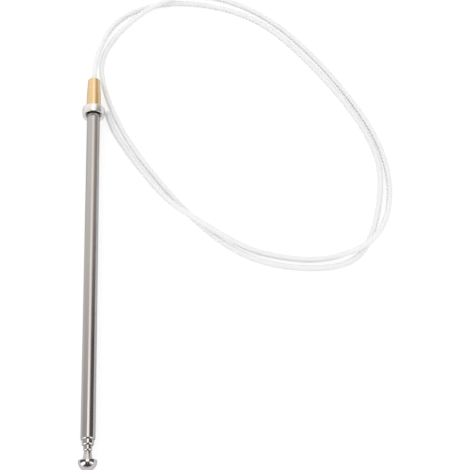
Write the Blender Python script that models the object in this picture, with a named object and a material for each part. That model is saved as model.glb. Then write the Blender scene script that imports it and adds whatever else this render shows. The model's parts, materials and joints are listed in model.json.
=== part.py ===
"""Replacement mast of a power antenna, pushed together and lying on a flat surface.

Three steel tubes and a steel rod slide inside each other. The rod ends in a turned cap
with a ball, the outer tube in a brass sleeve, and a chrome nut slides on the outer tube.
A toothed nylon cord runs from the rod's foot out of the sleeve and lies in two loops.

Metres, +Z up. The tip points to -Y and the cord leaves towards +Y. The ball and the nut
touch the surface at Z = 0, so the mast's axis climbs a little towards the nut. Along the
axis, a station is the distance from the ball's front.
"""

import math

import bmesh
import bpy
import numpy as np

# Round pieces: sides of the full circle, and facets left open between two half shells
SIDES = 36
OPEN_FACETS = 2
ARC_STEPS = 5

# Clearances
SLIDING_GAP = 0.00010
SHOE_GAP = 0.00005
FIT_GAP = 0.00005
SEAT_GAP = 0.00030

# Sliding sections: walls, and the room between each bore and the next section
CORD_RADIUS = 0.00170
THIRD_WALL = 0.00040
THIRD_ROOM = 0.00040
SECOND_WALL = 0.00040
SECOND_ROOM = 0.00050
OUTER_WALL = 0.00040
OUTER_ROOM = 0.00030
OUTER_LENGTH = 0.2176
MOUTH_STEP = 0.0030

# Rolled-in tube mouths
ROLL_LENGTH = 0.0009
LIP_LENGTH = 0.0012
LIP_SLOPE = 0.0003
LIP_FLAT = 0.0001

# Feet of the inner sections: groove for the shoes and flared end
GROOVE_DEPTH = 0.00020
GROOVE_LENGTH = 0.0080
GROOVE_SLOPE = 0.0003
FOOT_SLOPE = 0.0005
FOOT_LENGTH = 0.0040

# Tip cap: ball, neck and the socket for the rod
BALL_RADIUS = 0.00510
BALL_BACK = 0.00055
BALL_EDGE = 0.00040
BALL_STEPS = 11
BALL_EDGE_STEPS = 3
NECK_LENGTH = 0.0046
NECK_WALL = 0.00042
NECK_FLARE = 0.00075
NECK_HOLLOW = 0.00005
CAP_SOCKET_DEPTH = 0.0060

# Rod's foot and the ferrule that joins it to the cord
ROD_LAND = 0.0020
SPIGOT_WALL = 0.00040
SPIGOT_LENGTH = 0.0030
EDGE_CHAMFER = 0.00015
FERRULE_LENGTH = 0.0084
CORD_SOCKET_DEPTH = 0.0040
CRIMP_DEPTH = 0.00015
CRIMP_WIDTH = 0.0004
CRIMP_PITCH = 0.0011
CRIMP_COUNT = 2

# Brass sleeve on the outer tube's base end
SLEEVE_WALL = 0.00045
SLEEVE_LENGTH = 0.0231
SLEEVE_SOCKET_DEPTH = 0.0097
SLEEVE_BEAD = 0.0015
SLEEVE_BEAD_STEP = 0.00005
SLEEVE_TAPER = 0.00070
SLEEVE_TAPER_STEPS = 6
SLEEVE_EDGE = 0.00040
CORD_ROOM = 0.00060
TRUMPET_DEPTH = 0.0012
TRUMPET_FLARE = 0.00060

# Mast nut
NUT_LENGTH = 0.0060
NUT_WALL = 0.00175
NUT_BORE_GAP = 0.00030
NUT_DISH_DEPTH = 0.0006
NUT_MOUTH_STEP = 0.00045
NUT_MOUTH_DEPTH = 0.0012
NUT_RECESS_GAP = 0.00070
NUT_RECESS_DEPTH = 0.0026
NUT_FRONT_ROUND = 0.0014
NUT_BACK_ROUND = 0.0011
NUT_STAYS_ON = 0.0010

# Drive cord outside the sleeve: places on the surface measured from the sleeve's end, and
# the height of the cord's underside. Two turns: the first leaves the sleeve, comes down
# over the second and goes round clockwise, and the second ends bare beside the nut.
CORD_ROUTE = [
    (0.0005, 0.01225, 0.0048), (0.0049, 0.03265, 0.0023), (0.0162, 0.05265, 0.0),
    (0.0420, 0.06355, 0.0), (0.0740, 0.06145, 0.0), (0.1084, 0.04505, 0.0),
    (0.1380, 0.01145, 0.0), (0.1610, -0.02565, 0.0), (0.1740, -0.06245, 0.0),
    (0.1714, -0.09535, 0.0), (0.1550, -0.12875, 0.0), (0.1265, -0.13465, 0.0),
    (0.0960, -0.12765, 0.0), (0.0670, -0.10635, 0.0), (0.0328, -0.06155, 0.0),
    (0.0137, -0.02575, 0.0), (0.0041, 0.01025, 0.0), (0.0079, 0.02945, 0.0),
    (0.0232, 0.04945, 0.0013), (0.0440, 0.06205, 0.0042), (0.0600, 0.06855, 0.0025),
    (0.0760, 0.06865, 0.0), (0.1064, 0.05385, 0.0), (0.1370, 0.02185, 0.0),
    (0.1614, -0.01695, 0.0), (0.1768, -0.05475, 0.0), (0.1786, -0.08975, 0.0001),
    (0.1686, -0.11515, 0.0038), (0.1545, -0.12575, 0.0040), (0.1400, -0.12855, 0.0005),
    (0.1265, -0.12915, 0.0), (0.0976, -0.12275, 0.0), (0.0754, -0.11115, 0.0029),
    (0.0590, -0.09935, 0.0042), (0.0424, -0.08315, 0.0021), (0.0180, -0.04575, 0.0),
    (0.0112, -0.03195, 0.0), (0.0077, -0.02075, 0.0),
]
CORD_POINTS = 79
CURVE_SAMPLES = 4000

# Radii that follow, from the cord outwards
THIRD_BORE = CORD_RADIUS + SLIDING_GAP + GROOVE_DEPTH
THIRD_RADIUS = THIRD_BORE + THIRD_WALL
ROD_RADIUS = THIRD_BORE - THIRD_ROOM
SECOND_BORE = THIRD_RADIUS + SECOND_ROOM
SECOND_RADIUS = SECOND_BORE + SECOND_WALL
OUTER_BORE = SECOND_RADIUS + OUTER_ROOM
OUTER_RADIUS = OUTER_BORE + OUTER_WALL
CAP_SOCKET_RADIUS = ROD_RADIUS + FIT_GAP
NECK_END_RADIUS = CAP_SOCKET_RADIUS + NECK_WALL
SLEEVE_SOCKET_RADIUS = OUTER_RADIUS + FIT_GAP
SLEEVE_RADIUS = SLEEVE_SOCKET_RADIUS + SLEEVE_WALL
NUT_RADIUS = SLEEVE_RADIUS + NUT_RECESS_GAP + NUT_WALL

# Stations that follow, from the ball to the sleeve's end
BALL_BACK_STATION = BALL_RADIUS + BALL_BACK
NECK_END = BALL_BACK_STATION + NECK_LENGTH
THIRD_MOUTH = NECK_END + SEAT_GAP
SECOND_MOUTH = THIRD_MOUTH + MOUTH_STEP
OUTER_MOUTH = SECOND_MOUTH + MOUTH_STEP
OUTER_END = OUTER_MOUTH + OUTER_LENGTH
SLEEVE_STEP = OUTER_END + SEAT_GAP
SLEEVE_FRONT = SLEEVE_STEP - SLEEVE_SOCKET_DEPTH
SLEEVE_END = SLEEVE_FRONT + SLEEVE_LENGTH
NUT_BACK = SLEEVE_FRONT - SEAT_GAP + NUT_RECESS_DEPTH
NUT_FRONT = NUT_BACK - NUT_LENGTH

# Feet: each pushed-in section stops just short of the narrowing behind it
SECOND_END = SLEEVE_STEP - SEAT_GAP
SECOND_GROOVE = SECOND_END - FOOT_LENGTH - FOOT_SLOPE - GROOVE_LENGTH
THIRD_END = SECOND_GROOVE - GROOVE_SLOPE - SEAT_GAP
THIRD_GROOVE = THIRD_END - FOOT_LENGTH - FOOT_SLOPE - GROOVE_LENGTH
FERRULE_END = THIRD_GROOVE - GROOVE_SLOPE - SEAT_GAP
FERRULE_FRONT = FERRULE_END - FERRULE_LENGTH
ROD_FRONT = NECK_END - CAP_SOCKET_DEPTH + SEAT_GAP
ROD_SHOULDER = FERRULE_FRONT - SLIDING_GAP
ROD_GROOVE = ROD_SHOULDER - ROD_LAND - GROOVE_SLOPE - GROOVE_LENGTH
CORD_START = FERRULE_END - CORD_SOCKET_DEPTH + SEAT_GAP

# Slide of each section, until its shoes meet the rolled mouth of the tube round it
LIP_DEPTH = LIP_LENGTH + LIP_SLOPE
SECOND_SLIDE = SECOND_GROOVE - OUTER_MOUTH - LIP_DEPTH
THIRD_SLIDE = THIRD_GROOVE - SECOND_MOUTH - LIP_DEPTH
TIP_SLIDE = ROD_GROOVE - THIRD_MOUTH - LIP_DEPTH
NUT_SLIDE = NUT_FRONT - OUTER_MOUTH - NUT_STAYS_ON

# Lean of the mast, with the ball and the front edge of the nut's barrel on the surface
NUT_BARREL = NUT_FRONT + NUT_FRONT_ROUND
LEAN = (math.atan2(NUT_RADIUS, NUT_BARREL - BALL_RADIUS)
        - math.asin(BALL_RADIUS / math.hypot(NUT_RADIUS, NUT_BARREL - BALL_RADIUS)))


def on_axis(station):
    """Place in the world of a station on the mast's axis."""
    along = (station - SLEEVE_END / 2) * math.cos(LEAN)
    up = BALL_RADIUS + (station - BALL_RADIUS) * math.sin(LEAN)
    return np.array((0.0, along, up))


def metal(name, colour, roughness, metallic=1.0):
    """A Principled material of one piece."""
    material = bpy.data.materials.new(name)
    material.use_nodes = True
    shader = material.node_tree.nodes["Principled BSDF"]
    shader.inputs["Base Color"].default_value = (*colour, 1.0)
    shader.inputs["Roughness"].default_value = roughness
    shader.inputs["Metallic"].default_value = metallic
    return material


def arc(station, radius, size, start, end, steps=ARC_STEPS):
    """Points of a round corner about a centre, angles in degrees from the base's side."""
    turns = np.radians(np.linspace(start, end, steps + 1))
    return [(station + size * math.cos(turn), radius + size * math.sin(turn)) for turn in turns]


def turned(name, outline, station, parent, material, first=0, facets=SIDES):
    """A piece spun about the mast's axis from an outline of stations and radii.

    An outline from the axis to the axis makes a solid, any other a ring. With fewer facets
    than the full circle, the ends of the shell are closed.
    """
    shape = bmesh.new()
    turn = first * math.tau / SIDES
    corners = []
    for along, radius in outline:
        place = (radius * math.cos(turn), along - station, -radius * math.sin(turn))
        corners.append(shape.verts.new(place))
    if facets < SIDES:
        shape.faces.new(corners)
    else:
        for start, end in zip(corners, corners[1:]):
            shape.edges.new((start, end))
        if outline[0][1] > 0:
            shape.edges.new((corners[-1], corners[0]))
    bmesh.ops.spin(
        shape, geom=shape.verts[:] + shape.edges[:] + shape.faces[:], cent=(0, 0, 0), axis=(0, 1, 0),
        angle=facets * math.tau / SIDES, steps=facets, use_merge=False, use_duplicate=False)
    bmesh.ops.remove_doubles(shape, verts=shape.verts, dist=1e-7)
    bmesh.ops.recalc_face_normals(shape, faces=shape.faces)
    mesh = bpy.data.meshes.new(name)
    shape.to_mesh(mesh)
    shape.free()
    mesh.shade_smooth()
    mesh.set_sharp_from_angle(angle=math.radians(35))
    mesh.materials.append(material)
    piece = bpy.data.objects.new(name, mesh)
    bpy.context.scene.collection.objects.link(piece)
    piece.parent = parent
    piece.location = (0, station, 0)
    return piece


def mouth(station, radius, lip):
    """Outline of a tube's rolled-in mouth, from inside the lip round to the outside."""
    drop = radius - lip - LIP_FLAT
    roll = []
    for turn in np.radians(np.linspace(180, 90, ARC_STEPS + 1)):
        roll.append((station + ROLL_LENGTH * (1 + math.cos(turn)), radius - drop * (1 - math.sin(turn))))
    return [(station, lip)] + roll


def lip_and_bore(station, lip, bore):
    """Outline inside a tube's mouth, from the bore back to the lip's inner edge."""
    return [(station + LIP_DEPTH, bore), (station + LIP_LENGTH, lip)]


def section_foot(end, radius, wall, room):
    """Outline of a section's foot: groove for the shoes and a flared end, out and back in."""
    flare = radius + room - SLIDING_GAP
    flare_start = end - FOOT_LENGTH
    groove_end = flare_start - FOOT_SLOPE
    groove = groove_end - GROOVE_LENGTH
    neck = radius - GROOVE_DEPTH
    outside = [
        (groove - GROOVE_SLOPE, radius), (groove, neck), (groove_end, neck),
        (flare_start, flare), (end, flare)]
    inside = [
        (end, flare - wall), (flare_start, flare - wall), (groove_end, neck - wall),
        (groove, neck - wall), (groove - GROOVE_SLOPE, radius - wall)]
    return outside + inside


def outer_tube(parent):
    """Largest tube, rolled in at the tip end and cut square at the base."""
    lip = SECOND_RADIUS + SLIDING_GAP
    outline = mouth(OUTER_MOUTH, OUTER_RADIUS, lip)
    outline += [(OUTER_END, OUTER_RADIUS), (OUTER_END, OUTER_BORE)]
    outline += lip_and_bore(OUTER_MOUTH, lip, OUTER_BORE)
    steel = metal("satin_steel", (0.56, 0.55, 0.54), 0.28)
    turned("outer_tube", outline, OUTER_MOUTH, parent, steel)


def second_tube(parent):
    """Middle tube, with a grooved and flared foot."""
    lip = THIRD_RADIUS + SLIDING_GAP
    outline = mouth(SECOND_MOUTH, SECOND_RADIUS, lip)
    outline += section_foot(SECOND_END, SECOND_RADIUS, SECOND_WALL, OUTER_ROOM)
    outline += lip_and_bore(SECOND_MOUTH, lip, SECOND_BORE)
    steel = metal("second_steel", (0.58, 0.57, 0.56), 0.24)
    turned("second_tube", outline, SECOND_MOUTH, parent, steel)


def third_tube(parent):
    """Thin tube round the rod, with a grooved and flared foot."""
    lip = ROD_RADIUS + SLIDING_GAP
    outline = mouth(THIRD_MOUTH, THIRD_RADIUS, lip)
    outline += section_foot(THIRD_END, THIRD_RADIUS, THIRD_WALL, SECOND_ROOM)
    outline += lip_and_bore(THIRD_MOUTH, lip, THIRD_BORE)
    steel = metal("third_steel", (0.60, 0.59, 0.58), 0.22)
    turned("third_tube", outline, THIRD_MOUTH, parent, steel)


def contact_shoes(name, groove, radius, bore, parent):
    """Two half shells in a section's groove, which rub in the tube round it."""
    inner = radius - GROOVE_DEPTH + SHOE_GAP
    outer = bore - SHOE_GAP
    front = groove + SEAT_GAP
    back = groove + GROOVE_LENGTH - SEAT_GAP
    chamfer = min(EDGE_CHAMFER, (outer - inner) / 3)
    outline = [
        (front, inner), (front, outer - chamfer), (front + chamfer, outer),
        (back - chamfer, outer), (back, outer - chamfer), (back, inner)]
    facets = SIDES // 2 - OPEN_FACETS
    for side, middle in (("right", 0), ("left", SIDES // 2)):
        bronze = metal(f"{name}_{side}_bronze", (0.62, 0.42, 0.24), 0.4)
        first = middle - facets / 2
        turned(f"{name}_{side}", outline, front, parent, bronze, first, facets)


def tip_cap(parent):
    """Turned cap: a ball with a flat back, a hollow-sided neck and a socket for the rod."""
    rim = math.acos((BALL_BACK - BALL_EDGE) / BALL_RADIUS)
    ball = arc(BALL_RADIUS, 0, BALL_RADIUS, 180, math.degrees(rim), BALL_STEPS)
    ball[0] = (0.0, 0.0)
    edge_radius = BALL_RADIUS * math.sin(rim) - BALL_EDGE
    ball += arc(BALL_BACK_STATION - BALL_EDGE, edge_radius, BALL_EDGE, 90, 0, BALL_EDGE_STEPS)[1:]
    neck = []
    for share in np.linspace(0, 1, ARC_STEPS):
        radius = NECK_END_RADIUS + NECK_FLARE * (1 - share)
        hollow = NECK_HOLLOW * math.sin(math.pi * share)
        neck.append((BALL_BACK_STATION + NECK_LENGTH * share, radius - hollow))
    socket_end = NECK_END - CAP_SOCKET_DEPTH
    outline = ball + neck
    outline += [(NECK_END, CAP_SOCKET_RADIUS), (socket_end, CAP_SOCKET_RADIUS), (socket_end, 0.0)]
    chrome = metal("polished_chrome", (0.78, 0.77, 0.76), 0.08)
    turned("tip_cap", outline, 0.0, parent, chrome)


def tip_rod(parent):
    """Solid rod from the cap to the ferrule, grooved near its foot for the shoes."""
    neck = ROD_RADIUS - GROOVE_DEPTH
    spigot = ROD_RADIUS - SPIGOT_WALL
    spigot_end = ROD_SHOULDER + SPIGOT_LENGTH
    groove_end = ROD_GROOVE + GROOVE_LENGTH
    outline = [
        (ROD_FRONT, 0.0), (ROD_FRONT, ROD_RADIUS - EDGE_CHAMFER),
        (ROD_FRONT + EDGE_CHAMFER, ROD_RADIUS), (ROD_GROOVE - GROOVE_SLOPE, ROD_RADIUS),
        (ROD_GROOVE, neck), (groove_end, neck), (groove_end + GROOVE_SLOPE, ROD_RADIUS),
        (ROD_SHOULDER, ROD_RADIUS), (ROD_SHOULDER, spigot),
        (spigot_end - EDGE_CHAMFER, spigot), (spigot_end, spigot - EDGE_CHAMFER),
        (spigot_end, 0.0)]
    steel = metal("rod_steel", (0.62, 0.61, 0.60), 0.2)
    turned("tip_rod", outline, ROD_FRONT, parent, steel)


def cord_ferrule(parent):
    """Crimped joint, with the rod's spigot in its front and the cord's end in its back."""
    radius = THIRD_BORE - SHOE_GAP
    front_socket = ROD_RADIUS - SPIGOT_WALL + FIT_GAP
    front_bottom = ROD_SHOULDER + SPIGOT_LENGTH + SLIDING_GAP
    back_socket = CORD_RADIUS + FIT_GAP
    back_bottom = FERRULE_END - CORD_SOCKET_DEPTH
    outline = [
        (front_bottom, 0.0), (front_bottom, front_socket), (FERRULE_FRONT, front_socket),
        (FERRULE_FRONT, radius - EDGE_CHAMFER), (FERRULE_FRONT + EDGE_CHAMFER, radius)]
    for crimp in range(CRIMP_COUNT):
        start = FERRULE_FRONT + CRIMP_PITCH * (crimp + 0.5)
        middle = start + CRIMP_WIDTH / 2
        outline += [(start, radius), (middle, radius - CRIMP_DEPTH), (start + CRIMP_WIDTH, radius)]
    outline += [
        (FERRULE_END, radius), (FERRULE_END, back_socket), (back_bottom, back_socket),
        (back_bottom, 0.0)]
    brass = metal("ferrule_brass", (0.72, 0.56, 0.28), 0.3)
    turned("cord_ferrule", outline, FERRULE_FRONT, parent, brass)


def base_sleeve(parent):
    """Brass sleeve over the tube's end, tapered, with a trumpet mouth for the cord."""
    taper_start = SLEEVE_FRONT + SLEEVE_BEAD
    full = SLEEVE_RADIUS - SLEEVE_BEAD_STEP
    edge_start = SLEEVE_END - SLEEVE_EDGE
    side = []
    for share in np.linspace(0, 1, SLEEVE_TAPER_STEPS):
        side.append((taper_start + (edge_start - taper_start) * share, full - SLEEVE_TAPER * share**2))
    end_radius = full - SLEEVE_TAPER
    bore = CORD_RADIUS + CORD_ROOM
    outline = [(SLEEVE_FRONT, SLEEVE_SOCKET_RADIUS), (SLEEVE_FRONT, SLEEVE_RADIUS - EDGE_CHAMFER)]
    outline += [(SLEEVE_FRONT + EDGE_CHAMFER, SLEEVE_RADIUS), (taper_start - EDGE_CHAMFER, SLEEVE_RADIUS)]
    outline += side + arc(edge_start, end_radius - SLEEVE_EDGE, SLEEVE_EDGE, 90, 0)[1:]
    outline += [
        (SLEEVE_END, bore + TRUMPET_FLARE), (SLEEVE_END - TRUMPET_DEPTH, bore),
        (SLEEVE_STEP, bore), (SLEEVE_STEP, SLEEVE_SOCKET_RADIUS)]
    brass = metal("sleeve_brass", (0.80, 0.60, 0.32), 0.3)
    turned("base_sleeve", outline, SLEEVE_FRONT, parent, brass)


def mast_nut(parent):
    """Round nut with a recess over the sleeve's bead and a dished, open mouth at the front."""
    bore = OUTER_RADIUS + NUT_BORE_GAP
    open_mouth = bore + NUT_MOUTH_STEP
    recess = SLEEVE_RADIUS + NUT_RECESS_GAP
    front_round = min(NUT_FRONT_ROUND, NUT_RADIUS - open_mouth - EDGE_CHAMFER)
    back_round = min(NUT_BACK_ROUND, NUT_WALL - EDGE_CHAMFER)
    shoulder = NUT_BACK - NUT_RECESS_DEPTH
    dish_end = NUT_FRONT + NUT_DISH_DEPTH
    mouth_end = dish_end + NUT_MOUTH_DEPTH
    outline = [(dish_end, open_mouth)]
    outline += arc(NUT_FRONT + front_round, NUT_RADIUS - front_round, front_round, 180, 90)
    outline += arc(NUT_BACK - back_round, NUT_RADIUS - back_round, back_round, 90, 0)
    outline += [
        (NUT_BACK, recess), (shoulder, recess), (shoulder, bore), (mouth_end, bore),
        (mouth_end, open_mouth)]
    chrome = metal("nut_chrome", (0.74, 0.73, 0.72), 0.12)
    turned("mast_nut", outline, NUT_FRONT, parent, chrome)


def smooth_curve(points, start_way):
    """Natural cubic curve through the points, leaving the first along start_way."""
    spans = np.sqrt(np.linalg.norm(np.diff(points, axis=0), axis=1))
    knots = np.concatenate(([0.0], np.cumsum(spans)))
    slopes = np.diff(points, axis=0) / spans[:, None]
    count = len(points)
    system = np.zeros((count, count))
    sides = np.zeros((count, 3))
    system[0, :2] = 2 * spans[0], spans[0]
    sides[0] = 6 * (slopes[0] - start_way * np.linalg.norm(slopes[0]))
    for knot in range(1, count - 1):
        system[knot, knot - 1:knot + 2] = (
            spans[knot - 1], 2 * (spans[knot - 1] + spans[knot]), spans[knot])
        sides[knot] = 6 * (slopes[knot] - slopes[knot - 1])
    system[-1, -1] = 1.0
    bends = np.linalg.solve(system, sides)
    at = np.linspace(0, knots[-1], CURVE_SAMPLES)
    span = np.clip(np.searchsorted(knots, at, side="right") - 1, 0, count - 2)
    before = ((knots[span + 1] - at) / spans[span])[:, None]
    after = 1 - before
    straight = before * points[span] + after * points[span + 1]
    reach = spans[span][:, None] ** 2 / 6
    bend = (before**3 - before) * bends[span] + (after**3 - after) * bends[span + 1]
    return straight + reach * bend


def evenly(curve, count):
    """Points at equal distances along a finely sampled curve."""
    steps = np.linalg.norm(np.diff(curve, axis=0), axis=1)
    along = np.concatenate(([0.0], np.cumsum(steps)))
    places = np.linspace(0, along[-1], count)
    return np.column_stack([np.interp(places, along, curve[:, axis]) for axis in range(3)])


def drive_cord():
    """Round nylon cord, straight from the ferrule to the sleeve's end and then in two turns."""
    way_out = on_axis(SLEEVE_END)
    axis = on_axis(SLEEVE_END + 1.0) - way_out
    laid = np.array(CORD_ROUTE)
    laid[:, 1] += way_out[1]
    laid[:, 2] += CORD_RADIUS
    curve = smooth_curve(np.vstack((way_out, laid)), axis)
    curve[:, 2] = np.maximum(curve[:, 2], CORD_RADIUS)
    points = np.vstack((on_axis(CORD_START), evenly(curve, CORD_POINTS)))
    line = bpy.data.curves.new("drive_cord", "CURVE")
    line.dimensions = "3D"
    line.bevel_depth = CORD_RADIUS
    line.bevel_resolution = 2
    line.use_fill_caps = True
    strand = line.splines.new("POLY")
    strand.points.add(len(points) - 1)
    for knot, place in zip(strand.points, points):
        knot.co = (*place, 1.0)
    strand.use_smooth = True
    line.materials.append(metal("white_nylon", (0.86, 0.86, 0.85), 0.45, 0.0))
    bpy.context.scene.collection.objects.link(bpy.data.objects.new("drive_cord", line))


for leftover in list(bpy.data.objects):
    bpy.data.objects.remove(leftover, do_unlink=True)

mast_axis = bpy.data.objects.new("mast_axis", None)
bpy.context.scene.collection.objects.link(mast_axis)
mast_axis.location = on_axis(0.0)
mast_axis.rotation_euler = (LEAN, 0, 0)

outer_tube(mast_axis)
base_sleeve(mast_axis)
second_tube(mast_axis)
contact_shoes("second_shoe", SECOND_GROOVE, SECOND_RADIUS, OUTER_BORE, mast_axis)
third_tube(mast_axis)
contact_shoes("third_shoe", THIRD_GROOVE, THIRD_RADIUS, SECOND_BORE, mast_axis)
tip_rod(mast_axis)
tip_cap(mast_axis)
contact_shoes("rod_shoe", ROD_GROOVE, ROD_RADIUS, THIRD_BORE, mast_axis)
cord_ferrule(mast_axis)
mast_nut(mast_axis)
drive_cord()

print("lean in degrees", round(math.degrees(LEAN), 5), "length", round(SLEEVE_END, 5))
for joint, travel in (("second", SECOND_SLIDE), ("third", THIRD_SLIDE), ("tip", TIP_SLIDE), ("nut", NUT_SLIDE)):
    print(joint, "slide", round(travel, 5))
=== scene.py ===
"""Looks of a power antenna's replacement mast, pushed together, with its loose drive cord.

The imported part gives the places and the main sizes. Each section below makes one piece
round the mast's axis, or along the cord, and gives it its finish. Metres, +Z up.
"""

import json
import math

import bpy
import numpy as np
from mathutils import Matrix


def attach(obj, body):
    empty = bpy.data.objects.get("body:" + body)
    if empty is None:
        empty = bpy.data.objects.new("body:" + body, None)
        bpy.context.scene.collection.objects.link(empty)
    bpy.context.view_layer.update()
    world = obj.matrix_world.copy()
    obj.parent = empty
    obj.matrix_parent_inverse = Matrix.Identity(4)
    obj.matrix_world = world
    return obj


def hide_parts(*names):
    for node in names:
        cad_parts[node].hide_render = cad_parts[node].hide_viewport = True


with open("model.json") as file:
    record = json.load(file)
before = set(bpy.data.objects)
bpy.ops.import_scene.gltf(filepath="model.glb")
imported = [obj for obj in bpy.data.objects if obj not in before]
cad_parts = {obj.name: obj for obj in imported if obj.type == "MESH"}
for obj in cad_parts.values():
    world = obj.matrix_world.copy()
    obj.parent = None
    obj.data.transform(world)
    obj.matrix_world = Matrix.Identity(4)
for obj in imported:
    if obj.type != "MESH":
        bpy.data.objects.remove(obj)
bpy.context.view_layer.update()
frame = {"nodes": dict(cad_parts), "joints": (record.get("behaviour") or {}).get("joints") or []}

# Outer tube: the largest of three drawn steel tubes, pressed into the base sleeve. Its skin
# is ground and polished, and its tip end is rolled in so that the next section can't leave.
SIDES_ROUND = 180
TUBE_WALL = 0.0004
ROLL_FALL = 0.00033
ROLL_SLOPE = math.radians(20)
ROLL_START = 0.0009
NOSE_SHARE = 0.75
LIP_DEEP = 0.0012
LIP_EASE = 0.0003
LIP_FACE = 0.0001
RUNNING_GAP = 0.0001
CUT_EDGE = 0.00012
FLAT_SHARE = 0.25
SHARP_CORNER = math.radians(40)
ARC_STEPS = 6
OUTER_ARC_STEPS = 14
NEARLY_STRAIGHT = 0.99999
SHORTEST_SIDE = 1e-12
SAME_PLACE = 1e-7
GLANCING_GLOSS = (0.68, 0.68, 0.68)
SCRATCH_DEEP = 0.00002
POLISH_NOISE = (0.12, 0.42)

# The mast's own directions: along it to its base end, sideways and up, and how far it leans.
mast_way = -np.array(frame["joints"][0]["axis"], float)
mast_way /= np.linalg.norm(mast_way)
mast_side = np.array((1.0, 0.0, 0.0))
mast_up = np.cross(mast_side, mast_way)
mast_lean = math.atan2(mast_way[2], mast_way[1])


def node_points(node):
    """Points of a node's mesh, as an array of places."""
    mesh = frame["nodes"][node].data
    places = np.empty(len(mesh.vertices) * 3, np.float32)
    mesh.vertices.foreach_get("co", places)
    return places.reshape(-1, 3).astype(float)


def rear_centre(node):
    """Middle of the rim at a node's base end: halfway between that rim's outermost points."""
    places = node_points(node)
    stations = places @ mast_way
    rim = places[stations > stations.max() - CUT_EDGE / 2]
    return (rim.min(axis=0) + rim.max(axis=0)) / 2


mast_foot = rear_centre("outer_tube")


def measured(node):
    """Front and back station of a node, and its largest and smallest radius.

    A point's station is its way along the axis from the outer tube's base end, and its
    radius is its distance from the axis.
    """
    away = node_points(node) - mast_foot
    stations = away @ mast_way
    radii = np.linalg.norm(away - np.outer(stations, mast_way), axis=1)
    return stations.min(), stations.max(), radii.max(), radii.min()


def rounded_outline(corners, steps=ARC_STEPS):
    """Outline of stations and radii with each corner turned into an arc.

    Each row is a station, a radius and the corner's round. The arc touches both sides at
    round / tan(half the corner's angle), and swings between the two radii to those points.
    A short straight lies past each end of an arc, so that the shading of flats stays flat.
    """
    rows = np.array(corners, float)
    tip, size = rows[:, :2], rows[:, 2:3]
    to_last = np.roll(tip, 1, axis=0) - tip
    to_next = np.roll(tip, -1, axis=0) - tip
    to_last /= np.maximum(np.linalg.norm(to_last, axis=1, keepdims=True), SHORTEST_SIDE)
    to_next /= np.maximum(np.linalg.norm(to_next, axis=1, keepdims=True), SHORTEST_SIDE)
    cosine = (to_last * to_next).sum(axis=1, keepdims=True)
    corner = np.arccos(np.clip(cosine, -NEARLY_STRAIGHT, NEARLY_STRAIGHT))
    reach = size / np.tan(corner / 2)
    middle = to_last + to_next
    middle /= np.maximum(np.linalg.norm(middle, axis=1, keepdims=True), SHORTEST_SIDE)
    centre = tip + middle * size / np.sin(corner / 2)
    start = tip + to_last * reach - centre
    end = tip + to_next * reach - centre
    swing = (math.pi - corner)[:, None]
    share = np.linspace(0, 1, steps + 1)[None, :, None]
    bend = centre[:, None] + (
        np.sin((1 - share) * swing) * start[:, None] + np.sin(share * swing) * end[:, None]
    ) / np.sin(swing)
    lead_in = (tip + to_last * (reach + FLAT_SHARE * size))[:, None]
    lead_out = (tip + to_next * (reach + FLAT_SHARE * size))[:, None]
    line = np.concatenate((lead_in, bend, lead_out), axis=1).reshape(-1, 2)
    keep = np.linalg.norm(line - np.roll(line, 1, axis=0), axis=1) > SAME_PLACE
    keep[0] = True
    return line[keep]


def closed_surface(name, points, faces):
    """Smooth mesh object from arrays of points and faces, with its faces turned outwards.

    The volume is the sum over the triangles of first corner dot (second cross third) / 6.
    Where it is negative, the corners are read the other way round.
    """
    volume = 0.0
    for group in faces:
        for second in range(1, group.shape[1] - 1):
            one, two, three = (points[group[:, corner]] for corner in (0, second, second + 1))
            volume += (one * np.cross(two, three)).sum() / 6
    if volume < 0:
        faces = [group[:, ::-1] for group in faces]
    mesh = bpy.data.meshes.new(name)
    mesh.from_pydata(points, [], [face for group in faces for face in group.tolist()])
    mesh.shade_smooth()
    mesh.set_sharp_from_angle(angle=SHARP_CORNER)
    piece = bpy.data.objects.new(name, mesh)
    bpy.context.scene.collection.objects.link(piece)
    return piece


def swept_faces(rows, around, poled):
    """Faces between rows of points, each row closed round; with poles, fans to two last points."""
    index = np.arange(rows * around).reshape(rows, around)
    beside = np.roll(index, -1, axis=1)
    if not poled:
        under, beside_under = np.roll(index, -1, axis=0), np.roll(beside, -1, axis=0)
        return [np.stack((index, under, beside_under, beside), axis=-1).reshape(-1, 4)]
    quads = np.stack((index[:-1], index[1:], beside[1:], beside[:-1]), axis=-1).reshape(-1, 4)
    first, last = np.full(around, rows * around), np.full(around, rows * around + 1)
    front = np.stack((first, index[0], beside[0]), axis=-1)
    back = np.stack((last, beside[-1], index[-1]), axis=-1)
    return [quads, np.vstack((front, back))]


def turned(name, outline, relief=None):
    """An outline carried round the mast's axis.

    Point (u, v) is the axis at the outline's station u, plus the radius at u times
    (cos v sideways + sin v upwards). relief(stations, radii, angles) is added to the radius.
    An outline that starts on the axis is closed by a pole at each end, any other is a ring.
    """
    poled = outline[0, 1] < SAME_PLACE
    rows = outline[1:-1] if poled else outline
    angle = np.arange(SIDES_ROUND) * math.tau / SIDES_ROUND
    radius = np.repeat(rows[:, 1:2], SIDES_ROUND, axis=1)
    if relief is not None:
        radius = radius + relief(rows[:, 0:1], radius, angle[None, :])
    out = np.cos(angle)[:, None] * mast_side + np.sin(angle)[:, None] * mast_up
    spine = mast_foot + rows[:, 0:1] * mast_way
    points = (spine[:, None, :] + radius[:, :, None] * out[None]).reshape(-1, 3)
    if poled:
        points = np.vstack((points, mast_foot + outline[[0, -1], 0:1] * mast_way))
    return closed_surface(name, points, swept_faces(len(rows), SIDES_ROUND, poled))


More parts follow.
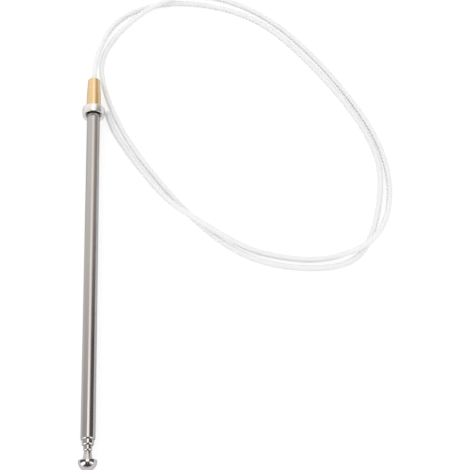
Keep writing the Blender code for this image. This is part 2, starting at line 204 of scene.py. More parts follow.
def add_node(tree, kind, place, **sockets):
    """Adds a shader node at a place in the editor and sets its named inputs."""
    made = tree.nodes.new(kind)
    made.location = place
    for socket, value in sockets.items():
        made.inputs[socket.replace("_", " ")].default_value = value
    return made


def along_mast(tree, stretch, place):
    """Object coordinates from the tube's base end, level with the mast, stretched per axis."""
    source = add_node(tree, "ShaderNodeTexCoord", (place[0] - 200, place[1]))
    level = add_node(tree, "ShaderNodeMapping", place)
    level.vector_type = "TEXTURE"
    level.inputs["Location"].default_value = tuple(mast_foot)
    level.inputs["Rotation"].default_value = (mast_lean, 0, 0)
    level.inputs["Scale"].default_value = tuple(1 / factor for factor in stretch)
    tree.links.new(source.outputs["Object"], level.inputs["Vector"])
    return level.outputs["Vector"]


def worked_metal(name, dull, bright, polish, lines, clouds, scratches):
    """Metal with fine working lines and faint clouds of handling.

    The clouds mix the dull and the bright colour. Lines times clouds mix the two
    roughnesses of polish, and the lines alone raise the scratches. lines and clouds are
    how often each noise repeats in a metre along X, along the mast and along Z. Seen at a
    glancing angle, the metal's gloss is dimmed to the share in GLANCING_GLOSS.
    """
    finish = bpy.data.materials.new(name)
    finish.use_nodes = True
    tree = finish.node_tree
    shader = tree.nodes["Principled BSDF"]
    shader.inputs["Metallic"].default_value = 1.0
    shader.inputs["Specular Tint"].default_value = (*GLANCING_GLOSS, 1.0)
    line_noise = add_node(tree, "ShaderNodeTexNoise", (-760, 60), Scale=1.0, Detail=3.0)
    cloud_noise = add_node(tree, "ShaderNodeTexNoise", (-760, -220), Scale=1.0, Detail=2.0)
    tree.links.new(along_mast(tree, lines, (-960, 60)), line_noise.inputs["Vector"])
    tree.links.new(along_mast(tree, clouds, (-960, -220)), cloud_noise.inputs["Vector"])
    tint = add_node(tree, "ShaderNodeMix", (-460, 220))
    tint.data_type = "RGBA"
    tint.inputs["A"].default_value = (*dull, 1.0)
    tint.inputs["B"].default_value = (*bright, 1.0)
    tree.links.new(cloud_noise.outputs["Fac"], tint.inputs["Factor"])
    tree.links.new(tint.outputs["Result"], shader.inputs["Base Color"])
    both = add_node(tree, "ShaderNodeMath", (-560, -60))
    both.operation = "MULTIPLY"
    tree.links.new(line_noise.outputs["Fac"], both.inputs[0])
    tree.links.new(cloud_noise.outputs["Fac"], both.inputs[1])
    spread = add_node(
        tree, "ShaderNodeMapRange", (-360, -60),
        From_Min=POLISH_NOISE[0], From_Max=POLISH_NOISE[1])
    spread.inputs["To Min"].default_value, spread.inputs["To Max"].default_value = polish
    tree.links.new(both.outputs["Value"], spread.inputs["Value"])
    tree.links.new(spread.outputs["Result"], shader.inputs["Roughness"])
    raised = add_node(
        tree, "ShaderNodeBump", (-260, -320), Strength=scratches, Distance=SCRATCH_DEEP)
    tree.links.new(line_noise.outputs["Fac"], raised.inputs["Height"])
    tree.links.new(raised.outputs["Normal"], shader.inputs["Normal"])
    return finish


def dress(piece, finish, body, stands_for):
    """Gives a piece its finish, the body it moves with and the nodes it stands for."""
    piece.data.materials.append(finish)
    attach(piece, body)
    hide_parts(*stands_for)


def rolled_mouth(front, radius, lip, bore):
    """Corners of a tube's rolled-in mouth, from the bore out over the lip to the outside.

    The roll is a cone with the roll's slope, so its length is the roll's fall over that
    slope's tangent. A round nose, a share of what is left above the lip, closes it in front.
    """
    return np.array((
        (front + LIP_DEEP + LIP_EASE, bore, LIP_EASE / 2),
        (front + LIP_DEEP, lip, LIP_EASE / 4), (front, lip, LIP_FACE / 2),
        (front, radius - ROLL_FALL, NOSE_SHARE * (radius - lip - ROLL_FALL)),
        (front + ROLL_FALL / math.tan(ROLL_SLOPE), radius, ROLL_START)))


ground_steel = worked_metal(
    "ground_steel", (0.40, 0.388, 0.38), (0.47, 0.458, 0.45), (0.14, 0.25),
    lines=(2600, 45, 2600), clouds=(90, 30, 90), scratches=0.12)
outer_front, outer_back, outer_radius, outer_lip = measured("outer_tube")
outer_bore = outer_radius - TUBE_WALL
outer_corners = np.vstack((
    rolled_mouth(outer_front, outer_radius, outer_lip, outer_bore),
    [(outer_back, outer_radius, CUT_EDGE), (outer_back, outer_bore, CUT_EDGE / 2)]))
outer_piece = turned("ground_outer_tube", rounded_outline(outer_corners, OUTER_ARC_STEPS))
dress(outer_piece, ground_steel, "mast", ["outer_tube"])

# Second tube: the middle section of the same drawn steel, polished where it slides. Its foot
# has a rolled groove for the contact shoes and is flared to run in the outer tube.
GROOVE_DEEP = 0.0002
GROOVE_LONG = 0.0080
GROOVE_EASE = 0.0003
FOOT_EASE = 0.0005
FOOT_LONG = 0.0040
FOOT_ROUND = 0.0002
SLIDING_ARC_STEPS = 12


def grooved_foot(end, radius, flare):
    """Corners of a section's foot, outside to its end and back inside to the bore."""
    flare_front = end - FOOT_LONG
    groove_back = flare_front - FOOT_EASE
    groove_front = groove_back - GROOVE_LONG
    neck = radius - GROOVE_DEEP
    outside = [
        (groove_front - GROOVE_EASE, radius, FOOT_ROUND), (groove_front, neck, FOOT_ROUND),
        (groove_back, neck, FOOT_ROUND), (flare_front, flare, FOOT_ROUND),
        (end, flare, CUT_EDGE)]
    inside = [
        (station, reach - TUBE_WALL, FOOT_ROUND) for station, reach, _ in reversed(outside[:-1])]
    return outside + [(end, flare - TUBE_WALL, CUT_EDGE / 2)] + inside


def sliding_tube(name, node, mouth_round, finish, body):
    """A section from its rolled mouth to its grooved foot; gives back its lip's radius."""
    front, back, flare, lip = measured(node)
    radius = mouth_round - RUNNING_GAP
    mouth = rolled_mouth(front, radius, lip, radius - TUBE_WALL)
    corners = np.vstack((mouth, grooved_foot(back, radius, flare)))
    piece = turned(name, rounded_outline(corners, SLIDING_ARC_STEPS))
    dress(piece, finish, body, [node])
    return lip


buffed_steel = worked_metal(
    "buffed_steel", (0.42, 0.408, 0.40), (0.50, 0.487, 0.48), (0.07, 0.14),
    lines=(3200, 60, 3200), clouds=(120, 60, 120), scratches=0.06)
second_lip = sliding_tube(
    "buffed_second_tube", "second_tube", outer_lip, buffed_steel, "second_section")

# Third tube: the thinnest of the tubes, round the rod. It is made as the second is, with its
# own rolled mouth at the tip and its own grooved foot for the shoes that rub in the second.
sliding_tube("buffed_third_tube", "third_tube", second_lip, buffed_steel, "third_section")

# Contact shoes: two half shells of spring bronze in each section's groove. They carry the
# signal from tube to tube, and stop the section at the rolled mouth round it.
spring_bronze = worked_metal(
    "spring_bronze", (0.50, 0.31, 0.17), (0.66, 0.44, 0.25), (0.28, 0.45),
    lines=(900, 900, 900), clouds=(300, 300, 300), scratches=0.2)
for section in ("second", "third", "rod"):
    for side in ("left", "right"):
        shoe = frame["nodes"][f"{section}_shoe_{side}"]
        shoe.data.materials.clear()
        shoe.data.materials.append(spring_bronze)

# Tip rod: a solid steel rod, the innermost section, pressed into the cap. Its foot has a
# groove for its shoes and a thinner spigot, which the ferrule grips.
SPIGOT_WALL = 0.0004
SPIGOT_LONG = 0.0030
ROD_LAND = 0.0020

rod_front, rod_back, rod_radius, _ = measured("tip_rod")
rod_shoulder = rod_back - SPIGOT_LONG
rod_groove_back = rod_shoulder - ROD_LAND - GROOVE_EASE
rod_groove_front = rod_groove_back - GROOVE_LONG + GROOVE_EASE
rod_corners = [
    (rod_front, 0.0, 0.0), (rod_front, rod_radius, CUT_EDGE),
    (rod_groove_front - GROOVE_EASE, rod_radius, FOOT_ROUND),
    (rod_groove_front, rod_radius - GROOVE_DEEP, FOOT_ROUND),
    (rod_groove_back, rod_radius - GROOVE_DEEP, FOOT_ROUND),
    (rod_groove_back + GROOVE_EASE, rod_radius, FOOT_ROUND),
    (rod_shoulder, rod_radius, CUT_EDGE), (rod_shoulder, rod_radius - SPIGOT_WALL, CUT_EDGE / 2),
    (rod_back, rod_radius - SPIGOT_WALL, CUT_EDGE), (rod_back, 0.0, 0.0)]
rod_piece = turned("buffed_tip_rod", rounded_outline(rod_corners))
dress(rod_piece, buffed_steel, "tip", ["tip_rod"])

# Tip cap: turned in one piece and chromed, a ball with a flat back on a hollow-sided neck.
# The ball closes the hole in the wing when the mast is in, and the rod is pressed in behind.
BALL_SAMPLES = 48
BALL_BACK = 0.00055
BALL_EDGE = 0.0004
EDGE_SAMPLES = 9
NECK_LONG = 0.0046
NECK_WALL = 0.00042
NECK_FLARE = 0.00075
NECK_HOLLOW = 0.00013
NECK_ROOT = 0.00035
NECK_SAMPLES = 14
ROOT_SAMPLES = 3
SOCKET_DEEP = 0.0060
PRESS_GAP = 0.00005

bright_chrome = worked_metal(
    "bright_chrome", (0.47, 0.455, 0.465), (0.54, 0.525, 0.53), (0.03, 0.08),
    lines=(400, 400, 400), clouds=(160, 160, 160), scratches=0.02)
cap_front, cap_back, ball_radius, _ = measured("tip_cap")
ball_middle = cap_front + ball_radius
ball_end = math.acos((BALL_BACK - BALL_EDGE) / ball_radius)
ball_turn = np.linspace(math.pi, ball_end, BALL_SAMPLES)
ball_side = np.column_stack((
    ball_middle + ball_radius * np.cos(ball_turn), ball_radius * np.sin(ball_turn),
    np.zeros(BALL_SAMPLES)))
ball_side[0, 1] = 0.0
cap_socket = rod_radius + PRESS_GAP
neck_share = np.linspace(0, 1, NECK_SAMPLES)
neck_front = ball_middle + BALL_BACK
edge_turn = np.linspace(math.pi / 2, 0, EDGE_SAMPLES)[1:]
ball_rim = np.column_stack((
    neck_front - BALL_EDGE * (1 - np.cos(edge_turn)),
    ball_radius * math.sin(ball_end) - BALL_EDGE * (1 - np.sin(edge_turn)),
    np.zeros(EDGE_SAMPLES - 1)))
neck_cone = cap_socket + NECK_WALL + NECK_FLARE * (1 - neck_share)
neck_side = np.column_stack((
    neck_front + NECK_LONG * neck_share,
    neck_cone - NECK_HOLLOW * np.sin(math.pi * neck_share), np.zeros(NECK_SAMPLES)))
neck_side[[0, -1], 2] = NECK_ROOT, CUT_EDGE
cap_corners = np.vstack((
    ball_side, ball_rim, neck_side[[0]], neck_side[ROOT_SAMPLES:],
    [(cap_back, cap_socket, CUT_EDGE / 2), (cap_back - SOCKET_DEEP, cap_socket, CUT_EDGE / 2),
     (cap_back - SOCKET_DEEP, 0.0, 0.0)]))
cap_piece = turned("chromed_tip_cap", rounded_outline(cap_corners))
dress(cap_piece, bright_chrome, "tip", ["tip_cap"])

# Cord ferrule: a short brass joint, crimped onto the rod's spigot and round the cord's end,
# so that the cord can push and pull the rod inside the tubes.
turned_brass = worked_metal(
    "turned_brass", (0.66, 0.485, 0.275), (0.76, 0.575, 0.335), (0.16, 0.28),
    lines=(60, 5200, 60), clouds=(140, 140, 140), scratches=0.10)
ferrule = frame["nodes"]["cord_ferrule"]
ferrule.data.materials.clear()
ferrule.data.materials.append(turned_brass)

# Drive cord: extruded white nylon with a rack cut into one side, which the motor's gear
# drives. It runs from the ferrule out of the sleeve and lies in two loose turns, cut bare.
# The points of its route are X from the mast, Y from the way out and Z above lying flat.
CORD_ROUTE = [
    (0.0005, 0.01225, 0.0048), (0.0049, 0.03265, 0.0023), (0.0162, 0.05265, 0.0),
    (0.0420, 0.06355, 0.0), (0.0740, 0.06145, 0.0), (0.1084, 0.04505, 0.0),
    (0.1380, 0.01145, 0.0), (0.1610, -0.02565, 0.0), (0.1740, -0.06245, 0.0),
    (0.1714, -0.09535, 0.0), (0.1550, -0.12875, 0.0), (0.1265, -0.13465, 0.0),
    (0.0960, -0.12765, 0.0), (0.0670, -0.10635, 0.0), (0.0328, -0.06155, 0.0),
    (0.0137, -0.02575, 0.0), (0.0041, 0.01025, 0.0), (0.0079, 0.02945, 0.0),
    (0.0232, 0.04945, 0.0013), (0.0440, 0.06205, 0.0042), (0.0600, 0.06855, 0.0025),
    (0.0760, 0.06865, 0.0), (0.1064, 0.05385, 0.0), (0.1370, 0.02185, 0.0),
    (0.1614, -0.01695, 0.0), (0.1768, -0.05475, 0.0), (0.1786, -0.08975, 0.0001),
    (0.1686, -0.11515, 0.0038), (0.1545, -0.12575, 0.0040), (0.1400, -0.12855, 0.0005),
    (0.1265, -0.12915, 0.0), (0.0976, -0.12275, 0.0), (0.0754, -0.11115, 0.0029),
    (0.0590, -0.09935, 0.0042), (0.0424, -0.08315, 0.0021), (0.0180, -0.04575, 0.0),
    (0.0112, -0.03195, 0.0), (0.0077, -0.02075, 0.0),
]
CORD_RADIUS = 0.0017
CURVE_SAMPLES = 4000
TOOTH_PITCH = 0.0025
TOOTH_DEEP = 0.00055
# Along one tooth: shares of its pitch, and the share of the full depth that is cut there.
TOOTH_SHARES = (0.0, 0.10, 0.42, 0.52, 0.94)
TOOTH_CUTS = (1.0, 1.0, 0.06, 0.0, 0.06)
FIRST_TOOTH = 0.5
CORD_SIDES = 24
RACK_SIDES = 8
RACK_REACH = 0.1
RACK_TILT = math.radians(-15)
RACK_SWAY = math.radians(20)
SWAY_LENGTH = 0.41
CORD_CUT = 0.0002
START_INSIDE = 0.0180
FERRULE_SOCKET = 0.0040
SOCKET_GAP = 0.0003
NYLON_DULL = (0.87, 0.87, 0.865)
NYLON_PALE = (0.91, 0.91, 0.915)
NYLON_POLISH = (0.36, 0.52)
NYLON_IOR = 1.53
NYLON_GLOW = 0.004
NYLON_GLOW_TINT = (1.0, 0.95, 0.9)
NYLON_CLOUDS = 70.0
NYLON_GRAIN = 1800.0
NYLON_GRAIN_DEEP = 0.00003


def laid_curve(points, start_way):
    """Natural cubic curve through the points, leaving the first along start_way.

    Knots lie at the sums of the square roots of the spans. Each span is the straight line
    between its two points plus (before^3 - before) and (after^3 - after) times the bends.
    """
    spans = np.sqrt(np.linalg.norm(np.diff(points, axis=0), axis=1))
    knots = np.concatenate(([0.0], np.cumsum(spans)))
    slopes = np.diff(points, axis=0) / spans[:, None]
    count = len(points)
    inner = np.arange(1, count - 1)
    system = np.zeros((count, count))
    sides = np.zeros((count, 3))
    system[0, :2] = 2 * spans[0], spans[0]
    sides[0] = 6 * (slopes[0] - start_way * np.linalg.norm(slopes[0]))
    system[inner, inner - 1] = spans[:-1]
    system[inner, inner] = 2 * (spans[:-1] + spans[1:])
    system[inner, inner + 1] = spans[1:]
    sides[inner] = 6 * np.diff(slopes, axis=0)
    system[-1, -1] = 1.0
    bends = np.linalg.solve(system, sides)
    at = np.linspace(0, knots[-1], CURVE_SAMPLES)
    span = np.clip(np.searchsorted(knots, at, side="right") - 1, 0, count - 2)
    before = ((knots[span + 1] - at) / spans[span])[:, None]
    after = 1 - before
    straight = before * points[span] + after * points[span + 1]
    bend = (before**3 - before) * bends[span] + (after**3 - after) * bends[span + 1]
    return straight + spans[span][:, None] ** 2 / 6 * bend


def lengths_along(line):
    """Length from the line's start to each of its points."""
    return np.concatenate(([0.0], np.cumsum(np.linalg.norm(np.diff(line, axis=0), axis=1))))


def places_at(line, lengths):
    """Points of a finely sampled line at given lengths from its start."""
    along = lengths_along(line)
    return np.column_stack([np.interp(lengths, along, line[:, axis]) for axis in range(3)])


def toothed_cord(name, line):
    """A round cord along a line, with a rack cut into one side.

    Point (s, v) is the line at length s plus, at angle v from the rack's middle, the
    smaller of the cord's radius and (radius - cut at s) / cos v. The cut goes up and down
    once in each tooth's pitch. The rack looks to the inside of the turns and sways a little.
    """
    total = lengths_along(line)[-1]
    teeth = np.arange(int((total - TOOTH_PITCH) / TOOTH_PITCH))
    stations = ((teeth[:, None] + FIRST_TOOTH + np.array(TOOTH_SHARES)) * TOOTH_PITCH).ravel()
    cuts = np.tile(TOOTH_CUTS, len(teeth)) * TOOTH_DEEP
    stations = np.concatenate(([0.0, CORD_CUT], stations, [total - CORD_CUT, total]))
    cuts = np.concatenate(([0.0, 0.0], cuts, [0.0, 0.0]))
    radius = np.full(len(stations), CORD_RADIUS)
    radius[[0, -1]] -= CORD_CUT
    centres = places_at(line, stations)
    ahead = places_at(line, np.minimum(stations + CORD_RADIUS, total))
    behind = places_at(line, np.maximum(stations - CORD_RADIUS, 0.0))
    way = ahead - behind
    way /= np.linalg.norm(way, axis=1, keepdims=True)
    inside = np.cross(way, (0.0, 0.0, 1.0))
    inside /= np.linalg.norm(inside, axis=1, keepdims=True)
    above = np.cross(inside, way)
    tilt = (RACK_TILT + RACK_SWAY * np.sin(stations * math.tau / SWAY_LENGTH))[:, None]
    rack = np.cos(tilt) * inside + np.sin(tilt) * above
    across = np.cross(way, rack)
    rack_edge = math.acos(1 - TOOTH_DEEP / CORD_RADIUS)
    angle = np.concatenate((
        np.linspace(-rack_edge, rack_edge, RACK_SIDES + 1),
        np.linspace(rack_edge, math.tau - rack_edge, CORD_SIDES - RACK_SIDES + 1)[1:-1]))
    rackward, sideward = np.cos(angle), np.sin(angle)
    cut_floor = (radius - cuts)[:, None] / np.maximum(rackward, RACK_REACH)[None, :]
    in_rack = np.minimum(radius[:, None], cut_floor)
    reach = np.where(rackward > RACK_REACH, in_rack, radius[:, None])
    out = rackward[None, :, None] * rack[:, None] + sideward[None, :, None] * across[:, None]
    points = (centres[:, None] + reach[:, :, None] * out).reshape(-1, 3)
    points = np.vstack((points, centres[[0, -1]]))
    return closed_surface(name, points, swept_faces(len(stations), len(angle), True))


def white_nylon():
    """Milky nylon: clouded a little in tone, soft light inside, and a skin that is half matt.

    The clouds mix the dull and the pale white, and the grain mixes the two roughnesses and
    raises the skin. Both noises are given in repeats in a metre.
    """
    finish = bpy.data.materials.new("white_nylon")
    finish.use_nodes = True
    tree = finish.node_tree
    shader = tree.nodes["Principled BSDF"]
    shader.inputs["IOR"].default_value = NYLON_IOR
    shader.inputs["Subsurface Weight"].default_value = 1.0
    shader.inputs["Subsurface Radius"].default_value = NYLON_GLOW_TINT
    shader.inputs["Subsurface Scale"].default_value = NYLON_GLOW
    source = add_node(tree, "ShaderNodeTexCoord", (-1160, 0))
    clouds = add_node(tree, "ShaderNodeTexNoise", (-860, 140), Scale=NYLON_CLOUDS, Detail=3.0)
    skin = add_node(tree, "ShaderNodeTexNoise", (-860, -160), Scale=NYLON_GRAIN, Detail=3.0)
    tint = add_node(tree, "ShaderNodeMix", (-420, 200))
    tint.data_type = "RGBA"
    tint.inputs["A"].default_value = (*NYLON_DULL, 1.0)
    tint.inputs["B"].default_value = (*NYLON_PALE, 1.0)
    matt = add_node(
        tree, "ShaderNodeMapRange", (-420, -60), To_Min=NYLON_POLISH[0], To_Max=NYLON_POLISH[1])
    grain = add_node(
        tree, "ShaderNodeBump", (-260, -280), Strength=0.15, Distance=NYLON_GRAIN_DEEP)
    for noise in (clouds, skin):
        tree.links.new(source.outputs["Object"], noise.inputs["Vector"])
    tree.links.new(clouds.outputs["Fac"], tint.inputs["Factor"])
    tree.links.new(tint.outputs["Result"], shader.inputs["Base Color"])
    tree.links.new(skin.outputs["Fac"], matt.inputs["Value"])
    tree.links.new(matt.outputs["Result"], shader.inputs["Roughness"])
    tree.links.new(skin.outputs["Fac"], grain.inputs["Height"])
    tree.links.new(grain.outputs["Normal"], shader.inputs["Normal"])
    return finish


nylon = white_nylon()
way_out = mast_foot + measured("base_sleeve")[1] * mast_way
laid = np.array(CORD_ROUTE)
laid[:, 1] += way_out[1]
laid[:, 2] += CORD_RADIUS
laid_line = laid_curve(np.vstack((way_out, laid)), mast_way)
laid_line[:, 2] = np.maximum(laid_line[:, 2], CORD_RADIUS)
hidden_start = way_out - START_INSIDE * mast_way
cord_line = np.vstack((hidden_start, laid_line))
cord_piece = toothed_cord("toothed_drive_cord", cord_line)
dress(cord_piece, nylon, "mast", ["drive_cord"])
socket_bottom = measured("cord_ferrule")[1] - FERRULE_SOCKET
gripped_end = mast_foot + (socket_bottom + SOCKET_GAP) * mast_way
inner_line = np.vstack((gripped_end, hidden_start - SOCKET_GAP * mast_way))
inner_piece = toothed_cord("toothed_inner_cord", inner_line)
dress(inner_piece, nylon, "mast", ["drive_cord"])

# Base sleeve: turned brass, soldered over the outer tube's end. It tapers to the open end
# that the cord comes out of, and carries a bead at the front for the nut to pull on.
SLEEVE_WALL = 0.00045
SLEEVE_SOCKET_DEEP = 0.0097
SLEEVE_BEAD = 0.0015
BEAD_STEP = 0.00005
SLEEVE_TAPER = 0.0007
TAPER_SAMPLES = 24
SLEEVE_EDGE = 0.0004
CORD_BORE = 0.0023
TRUMPET_FLARE = 0.0006
TRUMPET_DEEP = 0.0012
SLEEVE_ARC_STEPS = 8

sleeve_front, sleeve_back, sleeve_radius, _ = measured("base_sleeve")
taper_front = sleeve_front + SLEEVE_BEAD
taper_back = sleeve_back - SLEEVE_EDGE
taper_share = np.linspace(0, 1, TAPER_SAMPLES)
sleeve_side = np.column_stack((
    taper_front + (taper_back - taper_front) * taper_share,
    sleeve_radius - BEAD_STEP - SLEEVE_TAPER * taper_share**2, np.zeros(TAPER_SAMPLES)))
sleeve_step = sleeve_front + SLEEVE_SOCKET_DEEP
sleeve_socket = sleeve_radius - SLEEVE_WALL
sleeve_corners = np.vstack((
    [(sleeve_front, sleeve_socket, CUT_EDGE / 2), (sleeve_front, sleeve_radius, CUT_EDGE),
     (taper_front, sleeve_radius, BEAD_STEP / 2)],
    sleeve_side[:-1],
    [(sleeve_back, sleeve_side[-1, 1], SLEEVE_EDGE),
     (sleeve_back, CORD_BORE + TRUMPET_FLARE, CUT_EDGE),
     (sleeve_back - TRUMPET_DEEP, CORD_BORE, TRUMPET_DEEP / 2),
     (sleeve_step, CORD_BORE, CUT_EDGE), (sleeve_step, sleeve_socket, CUT_EDGE)]))
sleeve_piece = turned("turned_base_sleeve", rounded_outline(sleeve_corners, SLEEVE_ARC_STEPS))
dress(sleeve_piece, turned_brass, "mast", ["base_sleeve"])

# Mast nut: a round chromed brass nut, loose on the outer tube. It is threaded inside its
# back recess, and its dished, open mouth at the front leaves a dark ring round the tube.
NUT_WALL = 0.00175
NUT_RECESS_DEEP = 0.0026
NUT_DISH_DEEP = 0.0008
NUT_MOUTH_STEP = 0.00052
NUT_MOUTH_DEEP = 0.0020
NUT_FRONT_ROUND = 0.0005
NOSE_SAMPLES = 17
NUT_CROWN = 0.00012
CROWN_SAMPLES = 12
NUT_BACK_ROUND = 0.0011
BACK_ROUND_ROOM = 1.3
NUT_ARC_STEPS = 16
THREAD_PITCH = 0.00075
THREAD_DEEP = 0.00035
THREAD_SAMPLES = 56
SAME_RADIUS = 1e-6

nut_front, nut_back, nut_radius, nut_bore = measured("mast_nut")
nut_recess = nut_radius - NUT_WALL
nut_shoulder = nut_back - NUT_RECESS_DEEP
nut_mouth = nut_bore + NUT_MOUTH_STEP
thread_way = np.linspace(nut_back - CUT_EDGE, nut_shoulder + CUT_EDGE, THREAD_SAMPLES)
dish_end = nut_front + NUT_DISH_DEEP
mouth_end = dish_end + NUT_MOUTH_DEEP
crown_front = nut_front + NUT_FRONT_ROUND
# The crown is a parabola, so at its ends it slopes by 4 times its height over its length.
crown_end = math.pi / 2 + math.atan(4 * NUT_CROWN / (nut_back - crown_front))
nose_turn = np.linspace(math.pi, crown_end, NOSE_SAMPLES)
nut_nose = np.column_stack((
    crown_front + NUT_FRONT_ROUND * np.cos(nose_turn),
    nut_radius - NUT_CROWN + NUT_FRONT_ROUND * (np.sin(nose_turn) - math.sin(crown_end)),
    np.zeros(NOSE_SAMPLES)))
nut_nose[0, 2] = CUT_EDGE
crown_front += NUT_FRONT_ROUND * math.cos(crown_end)
crown_share = np.linspace(0, 1, CROWN_SAMPLES)[1:]
nut_barrel = np.column_stack((
    crown_front + (nut_back - crown_front) * crown_share,
    nut_radius - NUT_CROWN * (2 * crown_share - 1) ** 2, np.zeros(CROWN_SAMPLES - 1)))
nut_barrel = nut_barrel[nut_barrel[:, 0] < nut_back - NUT_BACK_ROUND * BACK_ROUND_ROOM]
nut_corners = np.vstack((
    [(dish_end, nut_mouth, CUT_EDGE)], nut_nose, nut_barrel,
    [(nut_back, nut_radius - NUT_CROWN, NUT_BACK_ROUND), (nut_back, nut_recess, 0.0)],
    np.column_stack((thread_way, np.full(THREAD_SAMPLES, nut_recess), np.zeros(THREAD_SAMPLES))),
    [(nut_shoulder, nut_recess, 0.0), (nut_shoulder, nut_bore, CUT_EDGE),
     (mouth_end, nut_bore, CUT_EDGE), (mouth_end, nut_mouth, CUT_EDGE)]))


def nut_thread(stations, radii, angles):
    """Helical thread in the recess: its crests stand in by the depth times a triangle wave.

    The wave's phase is the station over the pitch less the angle over a full turn, and it
    fades out towards both ends of the recess.
    """
    phase = (stations / THREAD_PITCH - angles / math.tau) % 1.0
    wave = 1 - np.abs(2 * phase - 1)
    inside = np.minimum(stations - nut_shoulder, nut_back - stations) / (THREAD_PITCH / 2)
    fade = np.clip(inside, 0, 1) * (np.abs(radii - nut_recess) < SAME_RADIUS)
    return -THREAD_DEEP * wave * fade


barrel_chrome = worked_metal(
    "barrel_chrome", (0.70, 0.685, 0.67), (0.78, 0.765, 0.75), (0.16, 0.26),
    lines=(900, 900, 900), clouds=(350, 350, 350), scratches=0.6)
nut_piece = turned("chromed_mast_nut", rounded_outline(nut_corners, NUT_ARC_STEPS), nut_thread)
dress(nut_piece, barrel_chrome, "nut", ["mast_nut"])

# Floor: a plain white board, which throws a white board's light back onto the object. Seen
# by the camera or in metal, it is a darker paint with a lift to white, so that shadows on it
# stay faint.
FLOOR_HALF = 4.0
FLOOR_WHITE = 0.88
FLOOR_PAINT = 0.33
FLOOR_LIFT = 0.75
PLAIN_WHITE = (1.0, 1.0, 1.0, 1.0)

floor_mesh = bpy.data.meshes.new("floor")
floor_ring = np.array(((-1, -1, 0), (1, -1, 0), (1, 1, 0), (-1, 1, 0))) * FLOOR_HALF
floor_mesh.from_pydata(floor_ring, [], [(0, 1, 2, 3)])
floor = bpy.data.objects.new("floor", floor_mesh)
bpy.context.scene.collection.objects.link(floor)
board = bpy.data.materials.new("white_board")
board.use_nodes = True
board_shader = board.node_tree.nodes["Principled BSDF"]
board_shader.inputs["Roughness"].default_value = 1.0
board_shader.inputs["Specular IOR Level"].default_value = 0.0
board_shader.inputs["Emission Color"].default_value = PLAIN_WHITE
floor_mesh.materials.append(board)


def seen_directly(tree, place):
    """1 on rays that the camera sees, straight or in metal and glass, and 0 on light's own."""
    path = add_node(tree, "ShaderNodeLightPath", place)
    first = add_node(tree, "ShaderNodeMath", (place[0] + 200, place[1]))
    second = add_node(tree, "ShaderNodeMath", (place[0] + 400, place[1]))
    for either in (first, second):
        either.operation = "MAXIMUM"
    tree.links.new(path.outputs["Is Camera Ray"], first.inputs[0])
    tree.links.new(path.outputs["Is Glossy Ray"], first.inputs[1])
    tree.links.new(first.outputs["Value"], second.inputs[0])
    tree.links.new(path.outputs["Is Transmission Ray"], second.inputs[1])
    return second.outputs["Value"]


seen = seen_directly(board.node_tree, (-900, -300))
paint = add_node(board.node_tree, "ShaderNodeMix", (-200, 100))
paint.data_type = "RGBA"
paint.inputs["A"].default_value = (FLOOR_WHITE, FLOOR_WHITE, FLOOR_WHITE, 1.0)
paint.inputs["B"].default_value = (FLOOR_PAINT, FLOOR_PAINT, FLOOR_PAINT, 1.0)
board.node_tree.links.new(seen, paint.inputs["Factor"])
board.node_tree.links.new(paint.outputs["Result"], board_shader.inputs["Base Color"])
lift = add_node(board.node_tree, "ShaderNodeMath", (-200, -300))
lift.operation = "MULTIPLY"
lift.inputs[1].default_value = FLOOR_LIFT
board.node_tree.links.new(seen, lift.inputs[0])
board.node_tree.links.new(lift.outputs["Value"], board_shader.inputs["Emission Strength"])

# Studio: a white room that the camera sees plain. Metal sees the same room with its overhead
# lamp and its dark flags, and everything else gets its even light and one soft lamp.
ROOM_LIGHT = 0.92
LAMP_POWER = 3.0
LAMP_SIZE = 2.0
LAMP_PLACE = (-0.95, -0.55, 1.25)
LAMP_TURN = (math.radians(-24), math.radians(-36), 0)
# Each card: its name, its span across the mast and along it in degrees, how soft its edges
# are in degrees, and its colour. A later card lies over the ones before it.
ROOM_CARDS = [
    ("near_wall", (-180, 180), (-90, 90), 10, (0.65, 0.615, 0.60)),
    ("far_wall", (-120, 120), (22, 90), 16, (1.22, 1.16, 1.11)),
    ("left_flag", (-96, -18), (-8, 10), 5, (0.08, 0.065, 0.065)),
    ("right_flag", (33, 102), (-8, 27), 7, (0.16, 0.13, 0.125)),
    ("far_flag", (38, 97), (27, 90), 10, (0.42, 0.36, 0.33)),
    ("back_flag", (38, 92), (34.5, 90), 4, (0.76, 0.69, 0.58)),
    ("left_box", (-120, -25), (-40, -14), 5, (2.3, 2.3, 2.3)),
    ("right_box", (37, 98), (-30, -15), 5, (2.0, 2.0, 2.0)),
    ("camera_side", (-16, 31), (-78, -20), 5, (0.085, 0.08, 0.075)),
    ("low_camera", (-30, 44), (-74, -35), 5, (0.085, 0.08, 0.075)),
    ("low_front", (-63, 80), (-66, -45), 6, (0.10, 0.09, 0.09)),
    ("camera_gap", (0, 15), (-44, -28), 8, (0.30, 0.29, 0.28)),
    ("overhead_lamp", (-9, 17), (16, 90), 5, (1.62, 1.53, 1.49)),
    ("lamp_core", (-7, 20), (-11, 18), 8, (2.6, 2.5, 2.45)),
]
room = bpy.data.worlds.new("studio")
bpy.context.scene.world = room
room.use_nodes = True
sky = room.node_tree
sky.nodes.clear()


def sky_math(operation, first, second=None):
    """One step of arithmetic on the direction of view, on values or other steps' results."""
    step = add_node(sky, "ShaderNodeMath", (-900, 0))
    step.operation = operation
    for socket, value in zip(step.inputs, (first, second)):
        if isinstance(value, (int, float)):
            socket.default_value = value
        elif value is not None:
            sky.links.new(value, socket)
    return step.outputs["Value"]


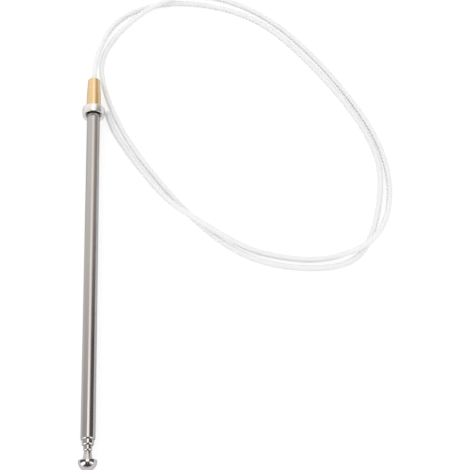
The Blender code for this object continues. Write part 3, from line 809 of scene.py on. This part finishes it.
def inside_band(angle, start, end, soft):
    """1 where the angle lies between start and end, with an even slope over soft degrees."""
    rise = sky_math("DIVIDE", sky_math("SUBTRACT", angle, start - soft / 2), float(soft))
    fall = sky_math("DIVIDE", sky_math("SUBTRACT", end + soft / 2, angle), float(soft))
    slope = sky_math("MINIMUM", rise, fall)
    return sky_math("MAXIMUM", sky_math("MINIMUM", slope, 1.0), 0.0)


direction = add_node(sky, "ShaderNodeSeparateXYZ", (-1200, 0))
facing = add_node(sky, "ShaderNodeTexCoord", (-1400, 0))
sky.links.new(facing.outputs["Generated"], direction.inputs["Vector"])
side_turn = sky_math("ARCTAN2", direction.outputs["X"], direction.outputs["Z"])
across_mast = sky_math("DEGREES", side_turn)
along_it = sky_math("DEGREES", sky_math("ARCSINE", direction.outputs["Y"]))
bare_room = add_node(sky, "ShaderNodeRGB", (-600, 300))
bare_room.outputs["Color"].default_value = PLAIN_WHITE
painted = bare_room.outputs["Color"]
for card, sideways, lengthways, soft, colour in ROOM_CARDS:
    side_mask = inside_band(across_mast, *sideways, soft)
    card_mask = sky_math("MULTIPLY", side_mask, inside_band(along_it, *lengthways, soft))
    layer = add_node(sky, "ShaderNodeMix", (-300, 200))
    layer.name = card
    layer.data_type = "RGBA"
    layer.inputs["B"].default_value = (*colour, 1.0)
    sky.links.new(card_mask, layer.inputs["Factor"])
    sky.links.new(painted, layer.inputs["A"])
    painted = layer.outputs["Result"]
ray = add_node(sky, "ShaderNodeLightPath", (-300, 600))
plain = add_node(sky, "ShaderNodeMix", (0, 300))
plain.data_type = "RGBA"
plain.inputs["B"].default_value = PLAIN_WHITE
sky.links.new(ray.outputs["Is Camera Ray"], plain.inputs["Factor"])
sky.links.new(painted, plain.inputs["A"])
shown_room = add_node(sky, "ShaderNodeBackground", (200, 300), Strength=1.0)
even_light = add_node(sky, "ShaderNodeBackground", (200, 100), Strength=ROOM_LIGHT)
even_light.inputs["Color"].default_value = PLAIN_WHITE
chosen = add_node(sky, "ShaderNodeMixShader", (400, 200))
sky_out = add_node(sky, "ShaderNodeOutputWorld", (600, 200))
sky.links.new(plain.outputs["Result"], shown_room.inputs["Color"])
sky.links.new(seen_directly(sky, (-600, 800)), chosen.inputs[0])
sky.links.new(even_light.outputs["Background"], chosen.inputs[1])
sky.links.new(shown_room.outputs["Background"], chosen.inputs[2])
sky.links.new(chosen.outputs["Shader"], sky_out.inputs["Surface"])

lamp = bpy.data.lights.new("soft_lamp", "AREA")
lamp.energy = LAMP_POWER
lamp.size = LAMP_SIZE
soft_lamp = bpy.data.objects.new("soft_lamp", lamp)
soft_lamp.location = LAMP_PLACE
soft_lamp.rotation_euler = LAMP_TURN
soft_lamp.visible_glossy = False
bpy.context.scene.collection.objects.link(soft_lamp)

# Camera: held over the tip and looking down along the mast, as the photograph was taken.
# Its lens is in millimetres, for a sensor 36 mm wide.
CAMERA_LENS = 76.6
CAMERA_SENSOR = 36.0
CAMERA_PLACE = (0.0714, -0.25365, 0.5300)
CAMERA_TURN = (math.radians(26.8), 0, math.radians(-2.76))

camera_data = bpy.data.cameras.new("camera")
camera_data.lens = CAMERA_LENS
camera_data.sensor_width = CAMERA_SENSOR
camera = bpy.data.objects.new("camera", camera_data)
camera.location = CAMERA_PLACE
camera.rotation_euler = CAMERA_TURN
bpy.context.scene.collection.objects.link(camera)
bpy.context.scene.camera = camera
bpy.context.scene.view_settings.view_transform = "Standard"
